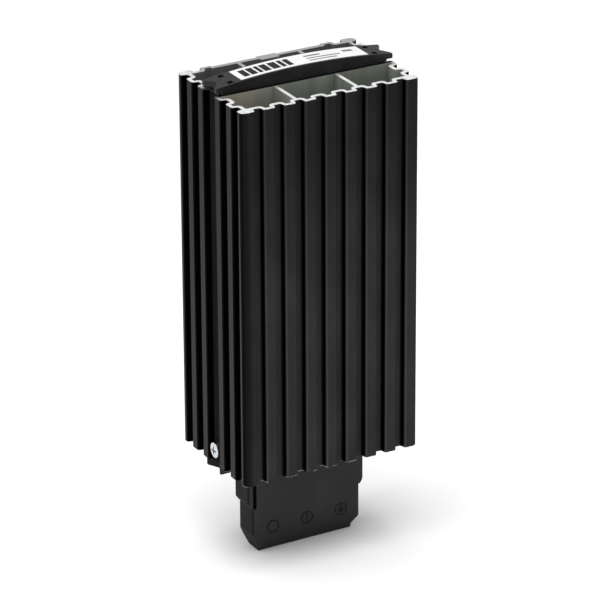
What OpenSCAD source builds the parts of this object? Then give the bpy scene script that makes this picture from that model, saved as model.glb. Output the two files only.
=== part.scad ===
// Enclosure heater for a 35 mm rail.
// X runs across the heater, +Y points back to the rail, +Z points up.
// The origin is the middle of the clip's rail seat.

/* [Extruded profile] */
// Width of the extrusion
profile_w = 70; // [64:1:90]
// Depth of the extrusion, front ribs to back ribs
profile_d = 46.4; // [42:0.2:60]
// Length of the extrusion
profile_l = 140; // [130:1:260]
// Thickness of the corrugated wall
wall = 1.4; // [1:0.1:1.6]
// Spacing of the ribs
rib_pitch = 8; // [7.6:0.1:8.4]
// Width of a groove at its mouth
groove_w = 3.7; // [3.2:0.1:4]
// Width of a groove at its floor
groove_floor_w = 2.7; // [2.4:0.1:3]
// Depth of the grooves
groove_depth = 2.4; // [1.8:0.1:2.8]
// Radius on the edges of the ribs
rib_edge_r = 0.9; // [0.4:0.1:1.1]
// Radius along the floor edges of the grooves
groove_floor_r = 0.6; // [0.3:0.1:0.9]
// Radius on the inner side of the wave
bump_r = 1.7; // [0.8:0.1:1.9]
// Radius on the four corners of the extrusion
corner_r = 2; // [1.5:0.1:3]
// Width of the groove in the middle of each side wall
side_groove_w = 7.8; // [6.8:0.1:8.2]
// Thickness of the webs between wall and core
web = 1.4; // [1:0.1:2]
// Step back of the flat part of the back wall
back_recess = 0.8; // [0.4:0.1:1.2]
// Thickness of the flat part of the back wall
back_wall = 1.8; // [1.4:0.1:2.4]
// Width of the thick strip that takes the clip screws
pad_w = 7.3; // [6.6:0.1:9]
// Thickness of that strip
pad_t = 3.8; // [3.2:0.1:5]

/* [Core] */
// Depth of the core, outside of its two walls
core_d = 10.4; // [10:0.1:12]
// Wall between a side cavity and the air cells
cavity_wall = 1.6; // [1.3:0.1:2]
// Wall between a side cavity and the side groove's floor
cavity_end_wall = 1.6; // [1.2:0.1:2.2]
// Width of the solid bridge between the heating channel and a side cavity
bridge_w = 4.35; // [4:0.05:5]

/* [Heating pack] */
// Width of a heating stone
stone_w = 17; // [15:0.1:17.4]
// Thickness of a heating stone
stone_t = 2.2; // [1.8:0.1:2.4]
// Height of a heating stone
stone_h = 30; // [20:1:32]
// Number of heating stones
stone_count = 3; // [1:1:3]
// Space between two stones
stone_gap = 2; // [1.5:0.1:3]
// Height of the lowest stone above the profile's lower end
stone_start = 24; // [20:1:30]
// Rim of the frame round the stones
frame_rim = 0.75; // [0.5:0.05:0.9]
// Thickness of the stone frame
frame_t = 2; // [1.2:0.1:2.1]
// Thickness of the contact plates
electrode_t = 0.4; // [0.3:0.05:0.6]
// Width of a contact plate's tab
tab_w = 2; // [1.6:0.1:2.4]
// Length of the tabs below the profile
tab_drop = 6; // [4:0.5:6.5]
// Sideways place of the back plate's tab
back_tab_x = 3; // [2.9:0.1:3.6]
// Thickness of the insulating sleeve
sleeve_t = 0.3; // [0.2:0.05:0.5]
// Bare ends of the channel below the sleeve
sleeve_start = 2; // [1:0.5:8]

/* [Top cap] */
// Height of the cap's crown above the profile
cap_crown = 5.4; // [4.4:0.1:7]
// Height of the cap's ends above the profile
cap_end = 3.1; // [2.4:0.1:3.6]
// Height of the set-back foot that stands on the core
cap_foot_h = 0.8; // [0.2:0.1:1.1]
// Set-back of that foot
cap_foot_in = 0.6; // [0.3:0.1:1]
// Height of the prongs' undersides above the profile
cap_prong_z = 1.4; // [1.2:0.1:2]
// Set-back of the cap's ends from the side ribs
cap_in = 0.3; // [0:0.1:0.8]
// Length of the prongs at the cap's ends
cap_prong = 2.3; // [1.5:0.1:3]
// Depth of the notch in each end of the cap
cap_notch = 2.6; // [1.5:0.1:3]
// Width of the notch at its floor
cap_notch_floor = 1.2; // [0.6:0.1:2]
// Length of the cap's legs in the side cavities
cap_leg_h = 9; // [6:0.5:14]
// Width of a cap leg
cap_leg_w = 4.8; // [3:0.1:6]
// Thickness of a cap leg
cap_leg_t = 1.05; // [0.8:0.05:1.4]
// Side of the square holes in the cap
cap_hole = 2.1; // [1.5:0.1:2.4]
// Spacing of the two square holes at one end
cap_hole_pitch = 6.7; // [5.6:0.1:7]
// Height of the square holes' floors above the profile
cap_hole_floor = 1.6; // [1.2:0.1:1.9]

/* [Label] */
// Length of the label
label_l = 50; // [40:0.5:51]
// Width of the label
label_w = 9; // [7:0.1:9.6]
// Sideways place of the label's middle
label_x = 0.4; // [-0.6:0.1:0.6]
// Thickness of the label
label_t = 0.15; // [0.1:0.05:0.3]

/* [Terminal housing] */
// Thickness of the flange under the core
flange_t = 2.4; // [1.6:0.1:3]
// Set-back of the flange's ends from the side ribs
flange_in = 0; // [0:0.1:1]
// Depth of the notch in each end of the flange
flange_notch = 2; // [1:0.1:3]
// Width of that notch at its mouth
flange_notch_w = 8.6; // [6:0.1:9]
// Width of that notch at its floor
flange_notch_floor = 0.6; // [0.2:0.1:2]
// Reach of the housing's box behind the core
housing_back = 1; // [0.4:0.1:1.6]
// Step from the lower part of the box out to the upper part, on each side
box_step_w = 1.7; // [1:0.1:2.2]
// Depth of the box's pockets and the walls in front and behind them
box_d = 9.6; // [9.2:0.1:10.2]
// Height of the box below the profile
box_h = 37.5; // [36.5:0.5:44]
// Lower end of the upper part, below the profile
box_step_z = 20; // [19:0.1:22]
// Height of the slope at that step
box_step_h = 2.4; // [1:0.1:3]
// Radius on the upright edges of the box
box_edge_r = 1.4; // [0.8:0.1:2]
// Height of the lower stretch that curves under
box_curve_h = 8; // [6:0.1:9]
// Radius of that curve on the front
box_curve_r = 19; // [17:0.5:30]
// Radius of that curve on the back
back_curve_r = 14; // [12:0.5:20]
// Sideways size of the cut on the lower right corner
box_cut_x = 3.2; // [1:0.1:3.3]
// Height of the cut on the lower right corner
box_cut_z = 3.3; // [1:0.1:3.4]
// Height of the straight lip below that cut
box_lip = 1.9; // [1.7:0.1:2.4]
// Sideways size of the long cut on the lower left corner
long_cut_x = 2.8; // [1:0.1:3.2]
// Height of the long cut on the lower left corner
long_cut_z = 7.4; // [4:0.1:8]
// Thickness of the box's front and back walls
box_wall = 1.6; // [1.4:0.1:1.9]
// Thickness of the outer walls beside the pockets
box_side_wall = 2.2; // [2:0.1:2.4]
// Thickness of the walls between the pockets
partition = 1.4; // [1:0.1:1.8]
// Width of the middle pocket
pocket_w = 11.2; // [10.6:0.1:11.6]
// Reach of a side pocket past the middle of its terminal
pocket_reach = 5.8; // [5.4:0.1:6.2]
// Thickness of the box's floor
box_floor = 4; // [4:0.1:5]
// Spacing of the terminals
terminal_pitch = 14; // [13.6:0.1:14.2]
// Width of a wire entry
entry_w = 6; // [5:0.1:6.4]
// Depth of a wire entry
entry_d = 4.4; // [4.2:0.1:4.6]
// Width of the narrow slot in the front
slot_w = 1.4; // [0.8:0.1:1.5]
// Height of that slot
slot_h = 17; // [8:0.5:17]
// Lower end of that slot below the profile
slot_bottom = 19.8; // [19.4:0.1:20.4]
// Wall between that slot and the pocket beside it
slot_wall = 0.8; // [0.7:0.1:1]
// Depth of that slot
slot_depth = 7; // [3:0.5:7.5]
// Height of the tongues in the side cavities
tongue_h = 10; // [8:0.5:16]
// Length of each tongue, across the heater
tongue_l = 10.6; // [8:0.1:10.8]

/* [Terminals] */
// Width of a contact bar
bar_w = 7; // [6:0.1:8]
// Thickness of a contact bar
bar_t = 0.8; // [0.6:0.1:1]
// Top of the contact bars below the profile
bar_top = 10.2; // [9.6:0.1:11]
// Reach of a contact bar's foot
bar_foot = 4.7; // [4.2:0.1:5.2]
// Width of a clamp spring
spring_w = 6; // [4:0.1:7]
// Thickness of a clamp spring
spring_t = 0.4; // [0.3:0.05:0.5]
// Inner radius of a clamp spring's bend
spring_r = 0.9; // [0.7:0.05:1]
// Height from a spring's bend down to its tip
spring_drop = 12; // [9:0.5:12.5]
// Gap between a bar's foot and the spring under it
spring_gap = 0.6; // [0.3:0.1:0.9]
// Gap between a spring's tip and its bar
spring_tip_gap = 0.3; // [0.2:0.05:0.5]
// Radius of the inner leads
lead_r = 0.8; // [0.6:0.05:0.85]
// Length of a lead along its tab
lead_lap = 2; // [1.5:0.1:2.5]
// Radius of a lead's bends
lead_bend = 1.4; // [1:0.05:1.45]
// Sideways step of the earth lead
earth_lead_step = 3; // [2.9:0.1:3.4]

/* [Fasteners] */
// Shank radius of the side screws and clip screws
screw_r = 1.5; // [1.25:0.05:1.75]
// Head radius of those screws
screw_head_r = 2.8; // [2.4:0.1:3]
// Head height of those screws
screw_head_h = 2.6; // [1.6:0.1:2.7]
// Shank length of the side screws
side_screw_l = 8.6; // [6:0.1:10]
// Height of the side screws above the profile's lower end
side_screw_z = 5; // [4.5:0.1:6]
// Radius of a screw head's dome, in head radii
head_dome = 4; // [1.3:0.1:5]
// Width of the cross recess in a screw head
recess_w = 0.7; // [0.5:0.1:0.9]
// Length of the cross recess
recess_l = 3.2; // [2.4:0.1:4]
// Depth of the cross recess
recess_depth = 1; // [0.6:0.1:1.3]
// Shank radius of the earth screw
earth_screw_r = 1.25; // [1:0.05:1.4]
// Head radius of the earth screw
earth_head_r = 2.75; // [2.4:0.05:2.8]
// Head height of the earth screw
earth_head_h = 2; // [1.4:0.1:2.2]
// Shank length of the earth screw
earth_screw_l = 7; // [5:0.5:10]
// Thickness of the earth tag
tag_t = 0.8; // [0.6:0.1:1]
// Outer radius of the earth tag's ring
tag_r = 3; // [2.85:0.05:3.1]
// Width of the earth tag's tail
tag_tail_w = 3; // [2:0.1:4]
// Drop of the earth tag's tail
tag_tail_drop = 6; // [4.6:0.1:6.5]

/* [Rail clip] */
// Width of the rail that the clip fits
rail_w = 35; // [30:1:40]
// Thickness of the rail's flange
rail_t = 1; // [0.8:0.1:1.2]
// Height of the rail's middle above the profile's lower end
rail_height = 80; // [50:1:100]
// Width of the clip's strip
clip_w = 16; // [12:0.5:24]
// Thickness of the clip's strip
clip_t = 1; // [0.8:0.1:1.5]
// Play of the rail in the hooks
rail_play = 0.3; // [0.2:0.05:0.5]
// Length of the upper hook's lip
upper_lip = 2.6; // [2:0.1:3.6]
// Length of the lower hook's lip
lower_lip = 1.4; // [1:0.1:2]
// Length of the sloped tab on the lower hook
clip_tab = 3.2; // [2:0.1:5]
// Slope of that tab from upright
clip_tab_angle = 30; // [20:1:45]
// Spacing of the two clip screws
clip_screw_pitch = 16; // [14:0.5:18]
// Shank length of the clip screws
clip_screw_l = 4.4; // [3.6:0.1:4.6]

/* [Clearances] */
// Play of tongues and legs in the side cavities
cavity_play = 0.15; // [0.05:0.05:0.3]
// Play of the heating pack in its channel
pack_play = 0.05; // [0.02:0.01:0.1]
// Play of the stones in their frame
stone_play = 0.1; // [0.05:0.05:0.2]
// Play of a screw in a through hole
screw_play = 0.1; // [0.05:0.05:0.2]

/* [Hidden] */
$fn = 48;
cut = 1;
half_w = profile_w / 2;
half_d = profile_d / 2;
// Share of a round's radius that its middle stands off the faces which it joins
round_off = 0.992;
rib_w = rib_pitch - groove_w;
flank = (groove_w - groove_floor_w) / 2 / groove_depth;
flank_long = sqrt(1 + flank * flank);
flank_wall = wall * flank_long;
bump_root = groove_w / 2 + flank_wall;
bump_tip = groove_floor_w / 2 - flank * wall + flank_wall;
side_groove_1 = side_groove_w / 2 + rib_w + groove_w / 2;
side_steps = floor((half_d - corner_r - groove_w / 2 - side_groove_1) / rib_pitch);
side_grooves = [for (k = [0 : side_steps]) side_groove_1 + k * rib_pitch];
front_steps = floor((half_w - corner_r - groove_w / 2) / rib_pitch + 0.5);
front_grooves = [for (k = [-front_steps : front_steps - 1]) (k + 0.5) * rib_pitch];
last_groove_x = (front_steps - 0.5) * rib_pitch;
last_groove_y = side_grooves[side_steps];
web_x = 1.5 * rib_pitch;
back_flat_half = last_groove_x - groove_w / 2 - rib_w;
back_inner_y = half_d - back_recess - back_wall;
floor_x = half_w - groove_depth;
cavity_half_d = core_d / 2 - cavity_wall;
cavity_out = floor_x - cavity_end_wall;

frame_half_w = stone_w / 2 + stone_play + frame_rim;
pack_half_t = stone_t / 2 + electrode_t;
sleeve_half_w = frame_half_w + stone_play + sleeve_t;
sleeve_half_t = pack_half_t + sleeve_t;
channel_half_w = sleeve_half_w + pack_play;
channel_half_d = sleeve_half_t + pack_play;
cavity_in = channel_half_w + bridge_w;
bridge_x = channel_half_w + bridge_w / 2;
stones_top = stone_start + stone_count * stone_h + (stone_count - 1) * stone_gap;
plate_start = stone_start - stone_gap;
plate_top = stones_top + stone_gap;

cap_half_l = half_w - cap_in;
cap_rise = cap_crown - cap_end;
cap_r = (cap_half_l * cap_half_l + cap_rise * cap_rise) / (2 * cap_rise);
cap_axis_z = profile_l + cap_crown - cap_r;
cap_leg_x = cavity_out - cavity_play - cap_leg_w / 2;

pocket_half_d = box_d / 2 - box_wall;
side_pocket_in = pocket_w / 2 + partition;
side_pocket_out = terminal_pitch + pocket_reach;
box_w = 2 * (side_pocket_out + box_side_wall);
box_upper_w = box_w + 2 * box_step_w;
box_floor_z = box_floor - box_h;
box_back_y = core_d / 2 + housing_back;
bar_y = pocket_half_d - bar_t;
slot_x = -(side_pocket_out + slot_wall + slot_w / 2);
tongue_out = cavity_out - cavity_play;
tongue_in = tongue_out - tongue_l;
tongue_half_d = cavity_half_d - cavity_play;
front_tab_x = -(frame_half_w - tab_w / 2);
tag_tail_x = terminal_pitch + earth_lead_step + lead_r;

seat_y = half_d + clip_t;
hook_r = (rail_t + rail_play) / 2;
hook_z = rail_w / 2 + rail_play / 2;

// Moves what is drawn from the profile's lower end into the rail's frame
module from_rail() {
  translate([0, -seat_y, -rail_height])
    children();
}

// Draws children on both sides of the heater's middle
module both_sides() {
  children();
  mirror([1, 0, 0])
    children();
}

// Flat rectangle with round corners
module round_rect(w, d, r) {
  square([w - 2 * r, d], center = true);
  square([w, d - 2 * r], center = true);
  for (x = [-1, 1], y = [-1, 1])
    translate([x * (w / 2 - r), y * (d / 2 - r)])
      circle(r);
}

// Turns an outline in width and height upright and gives it a depth
module upright(depth) {
  rotate([90, 0, 0])
    linear_extrude(depth, center = true)
      children();
}

// Turns an outline in depth and height upright and gives it a width
module sideways(width) {
  rotate([90, 0, 90])
    linear_extrude(width, center = true)
      children();
}

// Outline that narrows along the flanks from a root to a tip whose corners are round
module wave_form(root_half, tip_half, height, r) {
  off = round_off * r;
  mid_x = tip_half + flank * off - flank_long * off;
  meet = [mid_x + off / flank_long, height - off + flank * off / flank_long];
  difference() {
    polygon([[-root_half, 0], [root_half, 0], [tip_half, height], [-tip_half, height]]);
    both_sides()
      difference() {
        polygon([[mid_x, height - off], meet, meet + [cut, 0], [tip_half + cut, height + cut],
          [mid_x, height + cut]]);
        translate([mid_x, height - off])
          circle(r);
      }
  }
}

// One groove: mouth on the wall's face, floor inwards, with round rib edges
module groove(mouth, bottom) {
  off = round_off * rib_edge_r;
  mid_x = mouth / 2 - flank * off + flank_long * off;
  meet = [mid_x - off / flank_long, off - flank * off / flank_long];
  wave_form(mouth / 2, bottom / 2, groove_depth, groove_floor_r);
  both_sides()
    difference() {
      polygon([[0, -cut], [mid_x, -cut], [mid_x, off], meet, [0, meet[1]]]);
      translate([mid_x, off])
        circle(rib_edge_r);
    }
}

// Inner side of one groove: the same wave, one wall thickness further in
module bump() {
  wave_form(bump_root, bump_tip, groove_depth + wall, bump_r);
}

// Places of all narrow grooves, with the wall's inside as the child's +Y
module groove_places() {
  for (x = front_grooves)
    translate([x, -half_d])
      children();
  both_sides() {
    translate([last_groove_x, half_d])
      rotate(180)
        children();
    for (y = side_grooves, s = [-1, 1])
      translate([half_w, s * y])
        rotate(90)
          children();
  }
}

// Outside of the extrusion's section
module outer_outline() {
  difference() {
    round_rect(profile_w, profile_d, corner_r);
    groove_places()
      groove(groove_w, groove_floor_w);
    both_sides()
      translate([half_w, 0])
        rotate(90)
          groove(side_groove_w, side_groove_w - groove_w + groove_floor_w);
    both_sides()
      translate([pad_w / 2, half_d - back_recess])
        square([back_flat_half - pad_w / 2, back_recess + cut]);
  }
}

// Air cells of the extrusion, front and back
module air_cells() {
  side_w = half_w - wall - web_x - web / 2;
  front_y = half_d - wall;
  difference() {
    union() {
      translate([web / 2 - web_x, -front_y])
        square([2 * web_x - web, front_y - core_d / 2]);
      translate([web / 2 - web_x, core_d / 2])
        square([2 * web_x - web, back_inner_y - core_d / 2]);
      both_sides() {
        translate([web_x + web / 2, -front_y])
          square([side_w, front_y - core_d / 2]);
        translate([web_x + web / 2, core_d / 2])
          square([side_w, back_inner_y - core_d / 2]);
        translate([back_flat_half + wall / 2, core_d / 2])
          square([rib_w, half_d - wall - core_d / 2]);
      }
    }
    groove_places()
      bump();
    both_sides()
      for (s = [0, 1])
        mirror([0, s]) {
          translate([last_groove_x, half_d - groove_depth - wall])
            square([half_w, half_d]);
          translate([half_w - groove_depth - wall, last_groove_y])
            square([half_w, half_d]);
        }
    translate([-pad_w / 2, half_d - pad_t])
      square([pad_w, pad_t]);
  }
}

// Channel for the heating pack and the two cavities beside it
module core_openings() {
  square([2 * channel_half_w, 2 * channel_half_d], center = true);
  both_sides()
    translate([cavity_in, -cavity_half_d])
      square([cavity_out - cavity_in, 2 * cavity_half_d]);
}

// The extrusion, with its screw holes
module heat_sink_profile() {
  color("dimgray")
    from_rail()
      difference() {
        linear_extrude(profile_l)
          difference() {
            outer_outline();
            air_cells();
            core_openings();
          }
        both_sides()
          translate([cavity_out - cut, 0, side_screw_z])
            rotate([0, 90, 0])
              cylinder(h = cavity_end_wall + 2 * cut, r = screw_r + screw_play);
        for (s = [-1, 1])
          translate([0, half_d - pad_t - cut, rail_height + s * clip_screw_pitch / 2])
            rotate([-90, 0, 0])
              cylinder(h = pad_t + 2 * cut, r = screw_r);
        translate([bridge_x, 0, -cut])
          cylinder(h = earth_screw_l - tag_t + 2 * cut, r = earth_screw_r);
      }
}

// Notch with sloped flanks in the right end of a plan
module end_notch(end_x, depth, mouth, bottom) {
  polygon([[end_x + cut, -mouth / 2], [end_x, -mouth / 2], [end_x - depth, -bottom / 2],
    [end_x - depth, bottom / 2], [end_x, mouth / 2], [end_x + cut, mouth / 2]]);
}

// Top view of the cap with its notched ends
module cap_plan() {
  difference() {
    square([2 * cap_half_l, core_d], center = true);
    both_sides()
      end_notch(cap_half_l, cap_notch, side_groove_w, cap_notch_floor);
  }
}

// Disc whose rim is the cap's arch
module cap_arch(grow) {
  translate([0, cap_axis_z])
    circle(cap_r + grow, $fn = 360);
}

// The arched cap, with raised prongs at its ends, its foot and four legs
module top_cap() {
  color("black")
    from_rail() {
      difference() {
        intersection() {
          translate([0, 0, profile_l + cap_foot_h])
            linear_extrude(cap_crown)
              cap_plan();
          upright(core_d + 2 * cut)
            cap_arch(0);
        }
        both_sides()
          for (s = [-1, 1])
            translate([cap_leg_x, s * cap_hole_pitch / 2, profile_l + cap_hole_floor + cap_crown / 2])
              cube([cap_hole, cap_hole, cap_crown], center = true);
        both_sides()
          translate([cap_half_l - cap_prong, -core_d, profile_l])
            cube([half_w, 2 * core_d, cap_prong_z]);
      }
      translate([0, 0, profile_l])
        linear_extrude(cap_foot_h)
          difference() {
            square([2 * (floor_x - cap_foot_in), core_d - 2 * cap_foot_in], center = true);
            square([2 * channel_half_w, 2 * channel_half_d], center = true);
          }
      both_sides()
        for (s = [0, 1])
          mirror([0, s, 0])
            translate([cap_leg_x - cap_leg_w / 2, tongue_half_d - cap_leg_t, profile_l - cap_leg_h])
              cube([cap_leg_w, cap_leg_t, cap_leg_h + cap_foot_h]);
    }
}

// The label that follows the arch
module cap_label() {
  color("white")
    from_rail()
      upright(label_w)
        intersection() {
          difference() {
            cap_arch(label_t);
            cap_arch(0);
          }
          translate([label_x - label_l / 2, profile_l])
            square([label_l, cap_crown + cut]);
        }
}

// Front outline of the box
module box_front() {
  half = box_w / 2;
  upper = box_upper_w / 2;
  polygon([[upper, cut], [upper, box_step_h - box_step_z], [half, -box_step_z],
    [half, box_lip + box_cut_z - box_h], [half - box_cut_x, box_lip - box_h], [half - box_cut_x, -box_h],
    [long_cut_x - half, -box_h], [-half, long_cut_z - box_h],
    [-half, -box_step_z], [-upper, box_step_h - box_step_z], [-upper, cut]]);
}

// Side outline of the box as the given one of its faces bounds it, curved under at the lower end
module box_side(face_y, r) {
  curve_z = box_curve_h - box_h;
  translate([-face_y, curve_z])
    square([2 * box_d, cut - curve_z]);
  intersection() {
    translate([-face_y, -box_h])
      square([2 * box_d, box_curve_h]);
    translate([r - face_y, curve_z])
      circle(r, $fn = 180);
  }
}

// Top view of the flange with its notched ends
module flange_plan() {
  flange_half_l = half_w - flange_in;
  difference() {
    square([2 * flange_half_l, core_d], center = true);
    both_sides()
      end_notch(flange_half_l, flange_notch, flange_notch_w, flange_notch_floor);
  }
}

// Top view of the box at the given width
module box_plan(w) {
  translate([0, (box_back_y - box_d / 2) / 2])
    round_rect(w, box_back_y + box_d / 2, box_edge_r);
}

// Solid form of the box, before its pockets
module box_form() {
  intersection() {
    upright(2 * box_d)
      box_front();
    sideways(2 * box_upper_w)
      intersection() {
        box_side(box_d / 2, box_curve_r);
        mirror([1, 0])
          box_side(box_back_y, back_curve_r);
      }
    union() {
      translate([0, 0, -box_step_z])
        linear_extrude(box_step_z)
          box_plan(box_upper_w);
      translate([0, 0, -box_h])
        linear_extrude(box_h)
          box_plan(box_w);
    }
  }
}

// The terminal housing: flange, tongues and box with three pockets
module terminal_housing() {
  color("#1c1c1c")
    from_rail()
      difference() {
        union() {
          translate([0, 0, -flange_t])
            linear_extrude(flange_t)
              flange_plan();
          box_form();
          both_sides()
            translate([tongue_in, -tongue_half_d, -cut])
              cube([tongue_l, 2 * tongue_half_d, tongue_h + cut]);
        }
        translate([-pocket_w / 2, -pocket_half_d, box_floor_z])
          cube([pocket_w, 2 * pocket_half_d, cut - box_floor_z]);
        both_sides()
          translate([side_pocket_in, -pocket_half_d, box_floor_z])
            cube([side_pocket_out - side_pocket_in, 2 * pocket_half_d, cut - box_floor_z]);
        for (k = [-1, 0, 1])
          translate([k * terminal_pitch, 0, -box_h])
            cube([entry_w, entry_d, 2 * box_floor + cut], center = true);
        translate([slot_x - slot_w / 2, -box_d / 2 - cut, -slot_bottom])
          cube([slot_w, slot_depth + cut, slot_h]);
        both_sides()
          translate([floor_x - side_screw_l - screw_play, 0, side_screw_z])
            rotate([0, 90, 0])
              cylinder(h = side_screw_l, r = screw_r);
      }
}

// Pan head with a cross recess, its underside on the XY plane
module pan_head(r, h) {
  difference() {
    intersection() {
      cylinder(h = h, r = r);
      translate([0, 0, h - head_dome * r])
        sphere(head_dome * r);
    }
    for (a = [0, 90])
      rotate(a)
        translate([-recess_l / 2, -recess_w / 2, h - recess_depth])
          cube([recess_l, recess_w, recess_depth + cut]);
  }
}

// The screws in the side grooves
module side_screws() {
  color("silver")
    from_rail()
      both_sides()
        translate([floor_x, 0, side_screw_z])
          rotate([0, 90, 0]) {
            pan_head(screw_head_r, screw_head_h);
            translate([0, 0, -side_screw_l])
              cylinder(h = side_screw_l, r = screw_r);
          }
}

// Half ring of bent strip, open towards -Y
module bend(inner, thick) {
  intersection() {
    difference() {
      circle(inner + thick);
      circle(inner);
    }
    translate([-2 * (inner + thick), 0])
      square([4 * (inner + thick), 2 * (inner + thick)]);
  }
}

// Side outline of the clip: seat strip, upper hook, lower hook and sloped tab
module clip_outline() {
  lip_y = 2 * hook_r;
  translate([-clip_t, -hook_z])
    square([clip_t, 2 * hook_z]);
  translate([hook_r, hook_z])
    bend(hook_r, clip_t);
  translate([lip_y, hook_z - upper_lip])
    square([clip_t, upper_lip]);
  translate([hook_r, -hook_z])
    mirror([0, 1])
      bend(hook_r, clip_t);
  translate([lip_y, -hook_z])
    square([clip_t, lower_lip]);
  translate([lip_y + clip_t, lower_lip - hook_z]) {
    intersection() {
      circle(clip_t);
      fan = (180 - clip_tab_angle) / 4;
      polygon(concat([[0, 0]], [for (k = [0 : 4]) 2 * clip_t * [cos(180 - k * fan), sin(180 - k * fan)]]));
    }
    rotate(clip_tab_angle)
      translate([0, -clip_tab])
        square([clip_t, clip_tab]);
  }
}

// The spring clip for the rail
module rail_clip() {
  color("gray")
    difference() {
      sideways(clip_w)
        clip_outline();
      for (s = [-1, 1])
        translate([0, -clip_t - cut, s * clip_screw_pitch / 2])
          rotate([-90, 0, 0])
            cylinder(h = clip_t + 2 * cut, r = screw_r + screw_play);
    }
}

// The screws that hold the clip on the profile's back
module clip_screws() {
  color("silver")
    for (s = [-1, 1])
      translate([0, 0, s * clip_screw_pitch / 2])
        rotate([-90, 0, 0]) {
          pan_head(screw_head_r, screw_head_h);
          translate([0, 0, -clip_screw_l])
            cylinder(h = clip_screw_l, r = screw_r);
        }
}

// The heating stones, one above the other
module ptc_stones() {
  color("#5a5f63")
    from_rail()
      for (k = [0 : stone_count - 1])
        translate([-stone_w / 2, -stone_t / 2, stone_start + k * (stone_h + stone_gap)])
          cube([stone_w, stone_t, stone_h]);
}

// The frame that keeps the stones apart
module stone_frame() {
  color("ivory")
    from_rail()
      difference() {
        translate([-frame_half_w, -frame_t / 2, plate_start])
          cube([2 * frame_half_w, frame_t, plate_top - plate_start]);
        for (k = [0 : stone_count - 1])
          translate([0, 0, stone_start + stone_h / 2 + k * (stone_h + stone_gap)])
            cube([stone_w + 2 * stone_play, 2 * frame_t, stone_h + 2 * stone_play], center = true);
      }
}

// One contact plate with its tab, on the stones' back face
module electrode(tab_x) {
  translate([-frame_half_w, stone_t / 2, plate_start])
    cube([2 * frame_half_w, electrode_t, plate_top - plate_start]);
  translate([tab_x - tab_w / 2, stone_t / 2, -tab_drop])
    cube([tab_w, electrode_t, tab_drop + plate_start]);
}

// The contact plate in front of the stones
module electrode_front() {
  color("goldenrod")
    from_rail()
      mirror([0, 1, 0])
        electrode(front_tab_x);
}

// The contact plate behind the stones
module electrode_back() {
  color("goldenrod")
    from_rail()
      electrode(back_tab_x);
}

// The film sleeve between the plates and the aluminium
module insulating_sleeve() {
  color("orange")
    from_rail()
      translate([0, 0, sleeve_start])
        linear_extrude(plate_top + stone_gap - sleeve_start)
          difference() {
            square([2 * sleeve_half_w, 2 * sleeve_half_t], center = true);
            square([2 * (sleeve_half_w - sleeve_t), 2 * pack_half_t], center = true);
          }
}

// The three contact bars, each with a foot for its lead
module contact_bars() {
  color("gold")
    from_rail()
      for (k = [-1, 0, 1])
        translate([k * terminal_pitch, 0, 0])
          sideways(bar_w) {
            translate([bar_y, box_floor_z])
              square([bar_t, -bar_top - box_floor_z]);
            translate([bar_y + bar_t - bar_foot, -bar_top - bar_t])
              square([bar_foot, bar_t]);
          }
}

// The three clamp springs, each bent over towards its bar
module clamp_springs() {
  bend_y = spring_t + spring_r - pocket_half_d;
  bend_z = -bar_top - bar_t - spring_gap - spring_r - spring_t;
  reach = bar_y - spring_tip_gap - spring_t - bend_y - spring_r;
  color("silver")
    from_rail()
      for (k = [-1, 0, 1])
        translate([k * terminal_pitch, 0, 0])
          sideways(spring_w)
            translate([bend_y, bend_z]) {
              bend(spring_r, spring_t);
              translate([-spring_r - spring_t, -spring_drop])
                square([spring_t, spring_drop]);
              polygon([[spring_r, 0], [spring_r + spring_t, 0],
                [spring_r + spring_t + reach, -spring_drop], [spring_r + reach, -spring_drop]]);
            }
}

// One lead: down along its tab, across by the step, then down to the foot of its bar
module lead(step) {
  run = abs(step) - 2 * lead_bend;
  end_z = tab_drop - bar_top;
  turn_z = end_z / 2 + lead_bend;
  mirror([step < 0 ? 1 : 0, 0, 0]) {
    translate([0, 0, turn_z])
      cylinder(h = lead_lap - turn_z, r = lead_r);
    translate([lead_bend, 0, turn_z])
      lead_turn(180);
    translate([lead_bend, 0, turn_z - lead_bend])
      rotate([0, 90, 0])
        cylinder(h = run, r = lead_r);
    translate([lead_bend + run, 0, turn_z - 2 * lead_bend])
      lead_turn(0);
    translate([abs(step), 0, end_z])
      cylinder(h = turn_z - 2 * lead_bend - end_z, r = lead_r);
  }
}

// Quarter bend of a lead in the upright plane, from the given angle
module lead_turn(from) {
  rotate([90, 0, 0])
    rotate(from)
      rotate_extrude(angle = 90)
        translate([lead_bend, 0])
          circle(lead_r);
}

// The lead from the front plate
module lead_line() {
  color("red")
    from_rail()
      translate([front_tab_x, lead_r - stone_t / 2, -tab_drop])
        lead(-terminal_pitch - front_tab_x);
}

// The lead from the back plate
module lead_neutral() {
  color("blue")
    from_rail()
      translate([back_tab_x, stone_t / 2 - lead_r, -tab_drop])
        lead(-back_tab_x);
}

// The lead from the earth tag
module lead_earth() {
  color("green")
    from_rail()
      translate([tag_tail_x - lead_r, 0, -tab_drop])
        lead(-earth_lead_step);
}

// The ring tag that earths the profile, with a tail bent down for its lead
module earth_tag() {
  color("silver")
    from_rail()
      difference() {
        union() {
          translate([bridge_x, 0, -tag_t])
            cylinder(h = tag_t, r = tag_r);
          translate([bridge_x, -tag_tail_w / 2, -tag_t])
            cube([tag_tail_x + tag_t - bridge_x, tag_tail_w, tag_t]);
          translate([tag_tail_x, -tag_tail_w / 2, -tag_tail_drop])
            cube([tag_t, tag_tail_w, tag_tail_drop]);
        }
        translate([bridge_x, 0, -tag_t - cut])
          cylinder(h = tag_t + 2 * cut, r = earth_screw_r + screw_play);
      }
}

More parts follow.
